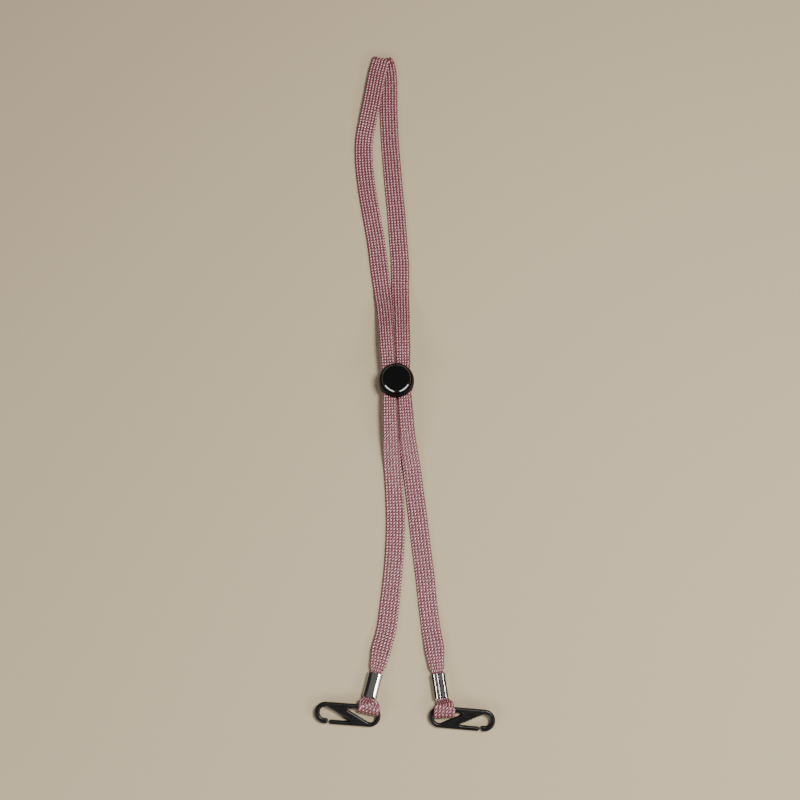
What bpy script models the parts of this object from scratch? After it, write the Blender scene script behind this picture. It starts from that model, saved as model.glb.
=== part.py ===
# Two-hook lanyard: flat braided cord, round push-button cord lock, two crimped ends with snap hooks.
# Written in millimetres and scaled to metres. Origin: centre of the cord lock's underside, on the table.
# +Y runs along the two strands through the lock, towards the fold. +Z is up.
import math
import bpy
import bmesh
from mathutils import Matrix, Vector
from mathutils.geometry import tessellate_polygon

MM = 0.001
GAP = 0.3

# flat tubular cord
CORD_W = 10.0
CORD_T = 1.8
CORD_Z = CORD_T / 2 + 0.05
CORD_SIDES = 14
CORD_STEP = 3.0
LOOP_STEP = 0.8

# cord lock: barrel, push button and spring
LOCK_R = 9.9
LOCK_RIM_Z = 12.2
LOCK_BORE_R = 8.55
LOCK_FLOOR = 1.2
WINDOW_X = 8.3
WINDOW_LOW = 5.5
WINDOW_TOP = 8.8
BUTTON_R = 8.2
BUTTON_TOP = 14.0
BUTTON_TRAVEL = 2.2
SLOT_LOW = 5.65
SLOT_TOP = 8.45 + BUTTON_TRAVEL + 0.25
WEB_HALF = 0.35
FOOT_LOW = 3.8
POCKET_R = 3.7
POCKET_TOP = 5.0
SPRING_R = 2.95
SPRING_WIRE = 0.5
SPRING_TURNS = 3.0

# the two strands where they pass the lock
PASS_X = 4.35
PASS_Z = 7.2
PASS_W = 7.4
PASS_T = 2.4

# crimps: outer width, height, length and wall
CRIMP_W = 7.8
CRIMP_H = 5.0
CRIMP_LEN = 13.4
CRIMP_WALL = 0.5
CRIMP_CORNER = 1.4
LAYER_Z = 0.8
LAYER_W = 6.2
LAYER_T = 1.3

# snap hooks, drawn flat with the nose at -x
HOOK_HALF = 17.75
HOOK_R = 5.8
HOOK_T = 2.9
HOOK_EDGE = 0.85
STROKE = 2.4
NOSE_STROKE = 2.9
WEB_SLOPE = 0.503
WEB_RISE = 2.41
ROOT_X = 1.6
GATE_PIVOT = (1.45, -4.65)
BAR_Y = HOOK_R - STROKE / 2

# where each end of the lanyard lies: crimp top and bottom, bar point, hook heading and tilt in degrees
LEFT = {"crimp": ((-18.1, -161.0), (-22.0, -173.9)), "bar": (-24.0, -178.6, 3.4), "heading": -6.7,
        "tilt": 11.7, "bar_x": 9.6, "loop_w": 9.4, "loop_t": 1.5, "loop_r": 2.55, "side": 1}
RIGHT = {"crimp": ((15.3, -162.9), (16.6, -175.9)), "bar": (18.2, -181.3, 3.8), "heading": -7.3,
         "tilt": 14.2, "bar_x": 9.5, "loop_w": 9.8, "loop_t": 1.5, "loop_r": 2.9, "side": -1}


def clear_scene():
    for obj in list(bpy.data.objects):
        bpy.data.objects.remove(obj, do_unlink=True)


def make_material(name, colour, roughness, metallic=0.0):
    mat = bpy.data.materials.new(name)
    mat.use_nodes = True
    shader = mat.node_tree.nodes["Principled BSDF"]
    shader.inputs["Base Color"].default_value = (*colour, 1.0)
    shader.inputs["Roughness"].default_value = roughness
    shader.inputs["Metallic"].default_value = metallic
    return mat


def add_object(name, verts, faces, mat, matrix=None, smooth=True):
    mesh = bpy.data.meshes.new(name)
    mesh.from_pydata([(x * MM, y * MM, z * MM) for x, y, z in verts], [], faces)
    bm = bmesh.new()
    bm.from_mesh(mesh)
    bmesh.ops.recalc_face_normals(bm, faces=bm.faces)
    bm.to_mesh(mesh)
    bm.free()
    for poly in mesh.polygons:
        poly.use_smooth = smooth
    if smooth:
        mesh.set_sharp_from_angle(angle=math.radians(40))
    obj = bpy.data.objects.new(name, mesh)
    bpy.context.collection.objects.link(obj)
    mesh.materials.append(mat)
    if matrix is not None:
        obj.matrix_world = matrix
    return obj


# ---------------------------------------------------------------- routes

def catmull(p0, p1, p2, p3, u):
    """Centripetal Catmull-Rom point between p1 and p2."""
    t0 = 0.0
    t1 = t0 + max((p1 - p0).length, 1e-6) ** 0.5
    t2 = t1 + max((p2 - p1).length, 1e-6) ** 0.5
    t3 = t2 + max((p3 - p2).length, 1e-6) ** 0.5
    t = t1 + (t2 - t1) * u
    a1 = p0 * ((t1 - t) / (t1 - t0)) + p1 * ((t - t0) / (t1 - t0))
    a2 = p1 * ((t2 - t) / (t2 - t1)) + p2 * ((t - t1) / (t2 - t1))
    a3 = p2 * ((t3 - t) / (t3 - t2)) + p3 * ((t - t2) / (t3 - t2))
    b1 = a1 * ((t2 - t) / (t2 - t0)) + a2 * ((t - t0) / (t2 - t0))
    b2 = a2 * ((t3 - t) / (t3 - t1)) + a3 * ((t - t1) / (t3 - t1))
    return b1 * ((t2 - t) / (t2 - t1)) + b2 * ((t - t1) / (t2 - t1))


def fine_route(rows):
    """Dense samples (point, width, thickness, control index) of a whole route."""
    pts = [Vector(row[:3]) for row in rows]
    ends = [pts[0] * 2 - pts[1]] + pts + [pts[-1] * 2 - pts[-2]]
    out = []
    parts = 16
    for i in range(len(pts) - 1):
        for k in range(parts):
            u = k / parts
            ease = u * u * (3 - 2 * u)
            width = rows[i][3] + (rows[i + 1][3] - rows[i][3]) * ease
            thick = rows[i][4] + (rows[i + 1][4] - rows[i][4]) * ease
            point = catmull(ends[i], ends[i + 1], ends[i + 2], ends[i + 3], u)
            out.append((point, width, thick, i + u))
    out.append((pts[-1], rows[-1][3], rows[-1][4], float(len(pts) - 1)))
    return out


def resample(samples, first, last, step, trim_start, trim_end):
    """Evenly spaced stations between two control indexes, shortened by the trims."""
    part = [s for s in samples if first - 1e-6 <= s[3] <= last + 1e-6]
    dist = [0.0]
    for a, b in zip(part, part[1:]):
        dist.append(dist[-1] + (b[0] - a[0]).length)
    start = trim_start
    end = dist[-1] - trim_end
    count = max(2, round((end - start) / step))
    out = []
    j = 0
    for k in range(count + 1):
        want = start + (end - start) * k / count
        while j < len(dist) - 2 and dist[j + 1] < want:
            j += 1
        u = (want - dist[j]) / (dist[j + 1] - dist[j])
        a = part[j]
        b = part[j + 1]
        out.append((a[0].lerp(b[0], u), a[1] + (b[1] - a[1]) * u, a[2] + (b[2] - a[2]) * u))
    return out


def flat_section(width, thick, sides):
    """Rounded flat outline: full in the middle, thinning softly to round edges."""
    out = []
    for k in range(sides):
        a = 2 * math.pi * (k + 0.5) / sides
        c = math.cos(a)
        s = math.sin(a)
        x = math.copysign(abs(c) ** 0.72, c)
        z = math.copysign(abs(s) ** 0.55, s)
        out.append((x * width / 2, z * thick / 2))
    return out


def sweep(name, stations, mat):
    """Closed flat tube through the stations, its width kept level and square to its route."""
    verts = []
    faces = []
    n = CORD_SIDES
    last = len(stations) - 1
    for i, (point, width, thick) in enumerate(stations):
        before = stations[max(i - 1, 0)][0]
        after = stations[min(i + 1, last)][0]
        along = (after - before).normalized()
        side = Vector((1 - along.x * along.x, -along.x * along.y, 0)).normalized()
        up = side.cross(along)
        for x, z in flat_section(width, thick, n):
            verts.append(tuple(point + side * x + up * z))
    for i in range(last):
        for k in range(n):
            a = i * n + k
            b = i * n + (k + 1) % n
            faces.append((a, b, b + n, a + n))
    faces.append(tuple(range(n - 1, -1, -1)))
    faces.append(tuple(last * n + k for k in range(n)))
    return add_object(name, verts, faces, mat)


def crimp_point(end, s, z):
    """Point on a crimp's centre line, s mm from its middle towards the hook."""
    top = Vector((*end["crimp"][0], 0))
    low = Vector((*end["crimp"][1], 0))
    p = (top + low) / 2 + (low - top).normalized() * s
    return (p.x, p.y, z)


def loop_rows(end):
    """Route rows from the cord's cut end, round the hook's bar and back up into the crimp."""
    bx, by, bz = end["bar"]
    a = math.radians(end["heading"])
    nx = -math.sin(a)
    ny = math.cos(a)
    r = end["loop_r"]
    w = end["loop_w"]
    t = end["loop_t"]
    low = CRIMP_H / 2 - LAYER_Z
    high = CRIMP_H / 2 + LAYER_Z
    rows = [(*crimp_point(end, -5.6, low), LAYER_W, LAYER_T),
            (*crimp_point(end, 0.0, low), LAYER_W, LAYER_T),
            (*crimp_point(end, 6.0, low), LAYER_W, LAYER_T),
            (*crimp_point(end, 7.5, low), LAYER_W, LAYER_T)]
    mid = w * 0.92
    for out, lift, wide in ((1.6, -0.97, mid), (0.0, -1.0, w), (-0.707, -0.707, w), (-1.0, 0.0, w),
                            (-0.707, 0.707, w), (0.0, 1.0, w), (1.6, 0.93, mid)):
        d = out if out > 0 else out * r
        rows.append((bx + nx * d, by + ny * d, bz + lift * r, wide, t))
    rows.append((*crimp_point(end, 7.5, high), LAYER_W, LAYER_T))
    rows.append((*crimp_point(end, 6.0, high), LAYER_W, LAYER_T))
    rows.append((*crimp_point(end, 0.0, high), LAYER_W, LAYER_T))
    return rows


def build_cord(mat):
    low = CORD_Z
    high = CRIMP_H / 2 + LAYER_Z
    left_loop = loop_rows(LEFT)
    left_lower = [
        (*crimp_point(LEFT, -6.0, high), LAYER_W, LAYER_T),
        (*crimp_point(LEFT, -7.5, high), LAYER_W, LAYER_T),
        (-17.0, -156.7, 3.1, 8.0, 1.6),
        (-14.7, -148.5, 2.3, 9.8, CORD_T),
        (-11.4, -137.5, 1.3, CORD_W, CORD_T),
        (-9.0, -123.5, low, CORD_W, CORD_T),
        (-6.8, -108.5, low, CORD_W, CORD_T),
        (-5.0, -93.5, low, CORD_W, CORD_T),
        (-3.9, -77.5, low, CORD_W, CORD_T),
        (-3.9, -60.5, low, 9.8, CORD_T),
        (-4.2, -48.5, 1.6, 9.5, CORD_T),
        (-4.5, -38.5, 3.7, 9.1, 2.0),
        (-4.4, -30.0, 6.3, 8.3, 2.2),
        (-PASS_X, -23.0, PASS_Z, PASS_W, PASS_T)]
    left_upper = [
        (-PASS_X, 0.0, PASS_Z, PASS_W, PASS_T),
        (-PASS_X, 23.0, PASS_Z, PASS_W, PASS_T),
        (-4.5, 31.0, 6.2, 8.3, 2.2),
        (-4.9, 43.5, 3.4, 9.0, 2.0),
        (-5.7, 55.5, 1.4, 9.6, CORD_T),
        (-6.9, 70.5, low, CORD_W, CORD_T),
        (-8.2, 86.5, low, CORD_W, CORD_T),
        (-9.9, 101.5, low, CORD_W, CORD_T),
        (-11.5, 117.5, low, CORD_W, CORD_T),
        (-12.6, 133.5, low, CORD_W, CORD_T),
        (-12.3, 147.5, 1.3, CORD_W, CORD_T),
        (-10.1, 160.0, 2.4, CORD_W, CORD_T)]
    fold = [
        (-8.0, 168.5, 3.05, CORD_W, CORD_T),
        (-6.1, 177.0, 3.1, CORD_W, CORD_T),
        (-4.3, 185.5, 3.05, CORD_W, CORD_T),
        (-2.6, 192.5, 3.05, CORD_W, CORD_T),
        (-1.2, 197.0, 3.05, CORD_W, CORD_T),
        (-0.7, 198.9, 3.05, CORD_W, CORD_T),
        (-0.2, 199.7, 2.74, CORD_W, CORD_T),
        (0.2, 200.0, 2.0, CORD_W, CORD_T),
        (0.7, 199.7, 1.26, CORD_W, CORD_T),
        (1.1, 198.9, low, CORD_W, CORD_T),
        (1.7, 197.0, low, CORD_W, CORD_T),
        (2.5, 192.0, low, CORD_W, CORD_T),
        (2.7, 184.5, low, CORD_W, CORD_T),
        (2.4, 176.5, low, CORD_W, CORD_T)]
    right_upper = [
        (2.1, 168.5, low, CORD_W, CORD_T),
        (2.0, 160.0, low, CORD_W, CORD_T),
        (2.0, 148.5, low, CORD_W, CORD_T),
        (2.5, 132.5, low, CORD_W, CORD_T),
        (3.1, 116.5, low, CORD_W, CORD_T),
        (3.8, 101.5, low, CORD_W, CORD_T),
        (4.2, 86.5, low, CORD_W, CORD_T),
        (4.6, 70.5, low, CORD_W, CORD_T),
        (4.7, 55.5, 1.4, 9.6, CORD_T),
        (4.7, 43.5, 3.4, 9.0, 2.0),
        (4.6, 31.0, 6.2, 8.3, 2.2),
        (PASS_X, 23.0, PASS_Z, PASS_W, PASS_T),
        (PASS_X, 0.0, PASS_Z, PASS_W, PASS_T)]
    right_lower = [
        (PASS_X, -23.0, PASS_Z, PASS_W, PASS_T),
        (4.6, -30.0, 6.3, 8.3, 2.2),
        (5.2, -38.5, 3.7, 9.1, 2.0),
        (6.1, -48.5, 1.6, 9.5, CORD_T),
        (7.0, -60.5, low, 9.8, CORD_T),
        (8.3, -77.5, low, CORD_W, CORD_T),
        (9.4, -93.5, low, CORD_W, CORD_T),
        (10.6, -108.5, low, CORD_W, CORD_T),
        (11.7, -123.5, low, CORD_W, CORD_T),
        (12.8, -137.5, 1.3, CORD_W, CORD_T),
        (13.8, -148.5, 2.3, 9.8, CORD_T),
        (14.7, -157.9, 3.1, 8.0, 1.6),
        (*crimp_point(RIGHT, -7.5, high), LAYER_W, LAYER_T),
        (*crimp_point(RIGHT, -6.0, high), LAYER_W, LAYER_T)]
    right_loop = list(reversed(loop_rows(RIGHT)))
    rows = left_loop + left_lower + left_upper + fold + right_upper + right_lower + right_loop
    samples = fine_route(rows)
    marks = [len(left_loop) - 1]
    marks.append(marks[-1] + len(left_lower))
    marks.append(marks[-1] + 2)
    marks.append(marks[-1] + len(left_upper) - 1)
    marks.append(marks[-1] + len(fold))
    marks.append(marks[-1] + len(right_upper) - 2)
    marks.append(marks[-1] + 2)
    marks.append(marks[-1] + len(right_lower))
    names = ["cord_loop_left", "cord_lower_left", "cord_pass_left", "cord_upper_left", "cord_fold",
             "cord_upper_right", "cord_pass_right", "cord_lower_right", "cord_loop_right"]
    bounds = [0] + marks + [len(rows) - 1]
    for i, name in enumerate(names):
        first = bounds[i]
        final = bounds[i + 1]
        step = LOOP_STEP if "loop" in name else CORD_STEP
        if name == "cord_fold":
            step = 0.9
        if "pass" in name:
            step = 15.0
        start = 0.0 if i == 0 else GAP / 2
        stop = 0.0 if i == len(names) - 1 else GAP / 2
        sweep(name, resample(samples, first, final, step, start, stop), mat)


# ---------------------------------------------------------------- outlines and plates

def round_outline(points):
    """Closed outline from (x, y, corner radius) rows, each corner turned into an arc."""
    out = []
    n = len(points)
    for i, (x, y, r) in enumerate(points):
        p = Vector((x, y))
        a = Vector(points[i - 1][:2]) - p
        b = Vector(points[(i + 1) % n][:2]) - p
        a.normalize()
        b.normalize()
        half = math.acos(max(-1.0, min(1.0, a.dot(b)))) / 2
        if r < 1e-6:
            out.append((x, y))
            continue
        reach = r / math.tan(half)
        start = p + a * reach
        end = p + b * reach
        centre = p + (a + b).normalized() * (r / math.sin(half))
        a0 = math.atan2(start.y - centre.y, start.x - centre.x)
        a1 = math.atan2(end.y - centre.y, end.x - centre.x)
        turn = (a1 - a0 + math.pi) % (2 * math.pi) - math.pi
        count = max(2, math.ceil(abs(turn) / math.radians(15)))
        for k in range(count + 1):
            ang = a0 + turn * k / count
            out.append((centre.x + r * math.cos(ang), centre.y + r * math.sin(ang)))
    return out


def inset(outline, d):
    """Outline moved d mm to its left side, towards the solid."""
    out = []
    n = len(outline)
    for i in range(n):
        p = Vector(outline[i])
        a = (p - Vector(outline[i - 1])).normalized()
        b = (Vector(outline[(i + 1) % n]) - p).normalized()
        na = Vector((-a.y, a.x))
        nb = Vector((-b.y, b.x))
        m = (na + nb).normalized()
        scale = d / max(0.35, m.dot(na))
        out.append(tuple(p + m * scale))
    return out


def rounded_plate(outlines, thick, edge, steps=4):
    """Plate of outlines (outer anticlockwise, holes clockwise) with rounded-over edges."""
    verts = []
    faces = []
    profile = []
    for k in range(steps + 1):
        a = math.pi / 2 * k / steps
        profile.append((thick / 2 - edge + edge * math.cos(a), edge * (1 - math.sin(a))))
    profile += [(-z, d) for z, d in reversed(profile)]
    firsts = []
    lasts = []
    for outline in outlines:
        n = len(outline)
        base = len(verts)
        for z, d in profile:
            for x, y in inset(outline, d):
                verts.append((x, y, z))
        for i in range(len(profile) - 1):
            for k in range(n):
                a = base + i * n + k
                b = base + i * n + (k + 1) % n
                faces.append((a, b, b + n, a + n))
        firsts.append([base + k for k in range(n)])
        lasts.append([base + (len(profile) - 1) * n + k for k in range(n)])
    for group in (firsts, lasts):
        flat = [i for ids in group for i in ids]
        loops = [[Vector((verts[i][0], verts[i][1], 0.0)) for i in ids] for ids in group]
        for tri in tessellate_polygon(loops):
            faces.append(tuple(flat[i] for i in tri))
    return verts, faces


def hook_outlines():
    """Frame outline, cord eye and gate outline of the hook, nose at -x."""
    edge_x = HOOK_HALF
    front = -WEB_RISE
    frame = round_outline([
        (ROOT_X, -HOOK_R, 0), (edge_x, -HOOK_R, 5.75), (edge_x, HOOK_R, 5.75), (-edge_x, HOOK_R, 5.75),
        (-edge_x, -HOOK_R, 5.75), (-10.6, -HOOK_R, 1.0), (-9.9, -NOSE_STROKE, 1.0),
        (-edge_x + NOSE_STROKE, -NOSE_STROKE, 2.8), (-edge_x + NOSE_STROKE, 3.3, 2.8),
        ((front - 3.3) / WEB_SLOPE, 3.3, 1.0), (ROOT_X, front - WEB_SLOPE * ROOT_X, 0)])
    inner = HOOK_R - STROKE
    eye = round_outline([
        ((WEB_RISE - inner) / WEB_SLOPE, inner, 0.7), (15.2, inner, 1.2), (15.2, -inner, 3.0),
        ((WEB_RISE + inner) / WEB_SLOPE, -inner, 0.5)])
    gate = round_outline([
        (-9.95, -HOOK_R, 1.0), (ROOT_X - GAP, -HOOK_R, 0), (ROOT_X - 2 * GAP, -3.5, 0), (-9.3, -3.5, 1.0)])
    return frame, eye, gate


def hook_matrix(end):
    """Hook frame: origin on the bar's axis in the cord's loop, x along the hook, z its face."""
    turn = Matrix.Rotation(math.radians(end["heading"]), 4, "Z")
    lean = Matrix.Rotation(math.radians(end["tilt"]), 4, "X")
    bar = Vector(end["bar"]) * MM
    return Matrix.Translation(bar) @ turn @ lean


def build_hook(end, tag, mat, gate_mat):
    frame, eye, gate = hook_outlines()
    side = end["side"]
    base = hook_matrix(end)

    def place(outline, ox, oy):
        pts = [((x - ox) * side, y - oy) for x, y in outline]
        return pts if side > 0 else list(reversed(pts))

    bar_x = end["bar_x"]
    verts, faces = rounded_plate([place(frame, bar_x, BAR_Y), place(eye, bar_x, BAR_Y)], HOOK_T, HOOK_EDGE)
    add_object("hook_frame_" + tag, verts, faces, mat, base)
    px, py = GATE_PIVOT
    verts, faces = rounded_plate([place(gate, px, py)], HOOK_T, HOOK_EDGE)
    shift = Matrix.Translation(Vector(((px - bar_x) * side, py - BAR_Y, 0)) * MM)
    add_object("hook_gate_" + tag, verts, faces, gate_mat, base @ shift)


# ---------------------------------------------------------------- crimps

def crimp_section():
    """C-shaped wall section with its seam at +z, as one closed outline."""
    hw = (CRIMP_W - CRIMP_WALL) / 2
    hh = (CRIMP_H - CRIMP_WALL) / 2
    r = CRIMP_CORNER
    half = [(0.22, hh - 0.3), (0.7, hh - 0.08), (1.3, hh), (hw - r, hh)]
    for k in range(1, 6):
        a = math.pi / 2 * (1 - k / 5)
        half.append((hw - r + r * math.cos(a), hh - r + r * math.sin(a)))
    for k in range(0, 6):
        a = -math.pi / 2 * k / 5
        half.append((hw - r + r * math.cos(a), -hh + r + r * math.sin(a)))
    line = [Vector(p) for p in half] + [Vector((-x, z)) for x, z in reversed(half)]
    outer = []
    inner = []
    for i, p in enumerate(line):
        d = (line[min(i + 1, len(line) - 1)] - line[max(i - 1, 0)]).normalized()
        n = Vector((d.y, -d.x)) * (CRIMP_WALL / 2)
        outer.append(p - n)
        inner.append(p + n)
    return [tuple(p) for p in outer] + [tuple(p) for p in reversed(inner)]


def build_crimp(end, tag, seam_up, mat):
    section = crimp_section()
    n = len(section)
    verts = []
    faces = []
    stations = [(-0.5, 1.02), (-0.46, 1.0), (0.0, 1.0), (0.46, 1.0), (0.5, 1.02)]
    for s, grow in stations:
        for x, z in section:
            verts.append((x * grow, s * CRIMP_LEN, z))
    for i in range(len(stations) - 1):
        for k in range(n):
            a = i * n + k
            b = i * n + (k + 1) % n
            faces.append((a, b, b + n, a + n))
    flat = [Vector((verts[k][0], verts[k][2], 0)) for k in range(n)]
    tris = tessellate_polygon([flat])
    faces += [tuple(t) for t in tris]
    faces += [tuple(i + (len(stations) - 1) * n for i in t) for t in tris]
    top = Vector((*end["crimp"][0], 0))
    low = Vector((*end["crimp"][1], 0))
    along = (top - low).normalized()
    mid = (top + low) / 2
    turn = math.atan2(-along.x, along.y)
    matrix = Matrix.Translation(Vector((mid.x, mid.y, CRIMP_H / 2)) * MM) @ Matrix.Rotation(turn, 4, "Z")
    if not seam_up:
        matrix = matrix @ Matrix.Rotation(math.pi, 4, "Y")
    add_object("crimp_" + tag, verts, faces, mat, matrix)


# ---------------------------------------------------------------- cord lock

def revolve(profile, segments):
    """Closed solid of revolution from (r, z) rows that start and end on the axis."""
    verts = [(0.0, 0.0, profile[0][1])]
    inner = profile[1:-1]
    for r, z in inner:
        for k in range(segments):
            a = 2 * math.pi * k / segments
            verts.append((r * math.cos(a), r * math.sin(a), z))
    verts.append((0.0, 0.0, profile[-1][1]))
    last = len(verts) - 1
    faces = []
    for k in range(segments):
        nxt = (k + 1) % segments
        faces.append((0, 1 + nxt, 1 + k))
        for i in range(len(inner) - 1):
            a = 1 + i * segments
            faces.append((a + k, a + nxt, a + segments + nxt, a + segments + k))
        a = 1 + (len(inner) - 1) * segments
        faces.append((a + k, a + nxt, last))
    return verts, faces


def box_verts(low, high):
    xs = (low[0], high[0])
    ys = (low[1], high[1])
    zs = (low[2], high[2])
    verts = [(xs[i], ys[j], zs[k]) for i in (0, 1) for j in (0, 1) for k in (0, 1)]
    faces = [(0, 1, 3, 2), (4, 6, 7, 5), (0, 4, 5, 1), (2, 3, 7, 6), (0, 2, 6, 4), (1, 5, 7, 3)]
    return verts, faces


def cut(obj, name, verts, faces, mat):
    cutter = add_object(name, verts, faces, mat, smooth=False)
    cutter.hide_render = True
    cutter.display_type = "WIRE"
    mod = obj.modifiers.new(name, "BOOLEAN")
    mod.operation = "DIFFERENCE"
    mod.object = cutter


def build_lock(body_mat, button_mat, spring_mat):
    body = [(0, 0), (7.6, 0), (8.3, 0.15), (8.9, 0.6), (9.4, 1.6), (9.75, 3.2), (LOCK_R, 5.2), (LOCK_R, 8.6),
            (9.75, 9.9), (9.45, 10.9), (9.2, 11.7), (9.0, LOCK_RIM_Z), (LOCK_BORE_R, LOCK_RIM_Z),
            (LOCK_BORE_R, LOCK_FLOOR), (0, LOCK_FLOOR)]
    verts, faces = revolve(body, 64)
    obj = add_object("lock_body", verts, faces, body_mat)
    verts, faces = box_verts((-WINDOW_X, -12, WINDOW_LOW), (WINDOW_X, 12, WINDOW_TOP))
    cut(obj, "cutter_window", verts, faces, body_mat)

    top = BUTTON_TOP
    head = [(0, FOOT_LOW), (BUTTON_R, FOOT_LOW), (BUTTON_R, top - 0.9), (BUTTON_R - 0.1, top - 0.55),
            (BUTTON_R - 0.4, top - 0.25), (BUTTON_R - 1.0, top - 0.08), (BUTTON_R - 1.8, top), (0, top)]
    verts, faces = revolve(head, 64)
    obj = add_object("lock_button", verts, faces, button_mat)
    for tag, sign in (("a", 1), ("b", -1)):
        low = (WEB_HALF if sign > 0 else -10, -10, SLOT_LOW)
        high = (10 if sign > 0 else -WEB_HALF, 10, SLOT_TOP)
        verts, faces = box_verts(low, high)
        cut(obj, "cutter_slot_" + tag, verts, faces, button_mat)
    verts, faces = revolve([(0, FOOT_LOW - 1), (POCKET_R, FOOT_LOW - 1), (POCKET_R, POCKET_TOP), (0, POCKET_TOP)], 32)
    cut(obj, "cutter_pocket", verts, faces, button_mat)

    low = LOCK_FLOOR + GAP + SPRING_WIRE / 2
    high = POCKET_TOP - GAP - SPRING_WIRE / 2
    verts = []
    faces = []
    count = 60
    sides = 8
    for i in range(count + 1):
        u = i / count
        a = 2 * math.pi * SPRING_TURNS * u
        rise = max(0.0, min(1.0, (u - 0.12) / 0.76))
        z = low + (high - low) * rise
        for k in range(sides):
            b = 2 * math.pi * k / sides
            r = SPRING_R + SPRING_WIRE / 2 * math.cos(b)
            verts.append((r * math.cos(a), r * math.sin(a), z + SPRING_WIRE / 2 * math.sin(b)))
    for i in range(count):
        for k in range(sides):
            p = i * sides + k
            q = i * sides + (k + 1) % sides
            faces.append((p, q, q + sides, p + sides))
    faces.append(tuple(range(sides - 1, -1, -1)))
    faces.append(tuple(count * sides + k for k in range(sides)))
    add_object("lock_spring", verts, faces, spring_mat)


def main():
    clear_scene()
    cord = make_material("cord_pink", (0.42, 0.15, 0.17), 0.55)
    hook = make_material("hook_black", (0.012, 0.012, 0.013), 0.35)
    gate = make_material("gate_black", (0.014, 0.014, 0.015), 0.35)
    body = make_material("lock_gloss_black", (0.01, 0.01, 0.011), 0.18)
    button = make_material("button_matte_black", (0.018, 0.018, 0.019), 0.55)
    nickel = make_material("crimp_nickel", (0.72, 0.71, 0.69), 0.16, 1.0)
    spring = make_material("spring_steel", (0.55, 0.55, 0.56), 0.3, 1.0)
    build_cord(cord)
    build_crimp(LEFT, "left", False, nickel)
    build_crimp(RIGHT, "right", True, nickel)
    build_hook(LEFT, "left", hook, gate)
    build_hook(RIGHT, "right", hook, gate)
    build_lock(body, button, spring)


main()
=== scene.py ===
import math
import bmesh
import bpy
import numpy as np
from mathutils import Matrix, Vector
from mathutils.geometry import tessellate_polygon


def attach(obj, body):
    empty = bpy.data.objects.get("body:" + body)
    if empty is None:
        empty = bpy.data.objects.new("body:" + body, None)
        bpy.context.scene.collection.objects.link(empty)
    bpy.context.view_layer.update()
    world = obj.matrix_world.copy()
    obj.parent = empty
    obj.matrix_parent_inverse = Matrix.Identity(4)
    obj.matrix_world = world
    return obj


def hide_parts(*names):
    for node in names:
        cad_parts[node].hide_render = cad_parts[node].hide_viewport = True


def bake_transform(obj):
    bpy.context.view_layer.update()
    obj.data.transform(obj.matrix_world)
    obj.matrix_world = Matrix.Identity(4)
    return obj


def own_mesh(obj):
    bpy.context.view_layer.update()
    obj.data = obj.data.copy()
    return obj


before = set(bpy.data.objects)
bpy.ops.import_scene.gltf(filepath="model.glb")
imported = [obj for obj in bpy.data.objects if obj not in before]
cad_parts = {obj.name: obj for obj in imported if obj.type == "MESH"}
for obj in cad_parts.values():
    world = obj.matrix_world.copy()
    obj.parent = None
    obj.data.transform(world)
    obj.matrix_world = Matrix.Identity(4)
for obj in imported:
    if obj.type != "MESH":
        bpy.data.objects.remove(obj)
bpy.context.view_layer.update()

mm = 0.001
print("stage: frame loaded")


studio = {
    "lens": 72.0,
    "sensor": 36,
    "distance": 0.902,
    "elevation": 75.5,
    "heading": 2.5,  # the camera's upward direction, turned clockwise from +Y
    "aim": (0.0016, -0.0091, 0.0),
    "skyColour": (1.0, 0.98, 0.95),
    "skyStrength": 0.07,
    "floorSize": 3.0, "floorCells": 24,
    "floorColour": (0.49, 0.405, 0.27), "floorRoughness": 0.8, "floorShine": 0.25,
}
lights = {
    "key": {"place": (0.34, -0.06, 0.95), "target": (0, 0, 0), "shape": "DISK", "size": 0.32,
            "power": 12.4, "colour": (1.0, 0.965, 0.92)},
    "panelOver": {"place": (-0.08, -0.12, 1.05), "target": (-0.02, -0.15, 0), "size": 0.5, "sizeY": 0.3,
                  "power": 0.13, "colour": (1.0, 0.97, 0.93)},
    "panelLeft": {"place": (-0.6, -0.62, 0.49), "target": (0, 0, 0.01), "size": 0.95, "sizeY": 0.2,
                  "power": 4.6, "colour": (0.97, 0.98, 1.0)},
    "panelRight": {"place": (0.6, -0.62, 0.49), "target": (0, 0, 0.01), "size": 0.95, "sizeY": 0.2,
                   "power": 4.6, "colour": (0.97, 0.98, 1.0)},
}


def newMaterial(name, colour, roughness, metallic, sockets):
    mat = bpy.data.materials.new(name)
    mat.use_nodes = True
    shader = mat.node_tree.nodes["Principled BSDF"]
    shader.inputs["Base Color"].default_value = (*colour, 1)
    shader.inputs["Roughness"].default_value = roughness
    shader.inputs["Metallic"].default_value = metallic
    for label, value in sockets.items():
        shader.inputs[label].default_value = value
    return mat, mat.node_tree, shader


def addObject(name, data):
    obj = bpy.data.objects.new(name, data)
    bpy.context.collection.objects.link(obj)
    return obj


def aimAt(obj, target):
    direction = Vector(target) - obj.location
    obj.rotation_euler = direction.to_track_quat("-Z", "Y").to_euler()


def addLight(name, place, target, size, power, colour, shape="RECTANGLE", sizeY=None):
    data = bpy.data.lights.new(name, "AREA")
    data.shape = shape
    data.size = size
    if sizeY:
        data.size_y = sizeY
    data.energy = power
    data.color = colour
    light = addObject(name, data)
    light.location = place
    aimAt(light, target)


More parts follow.
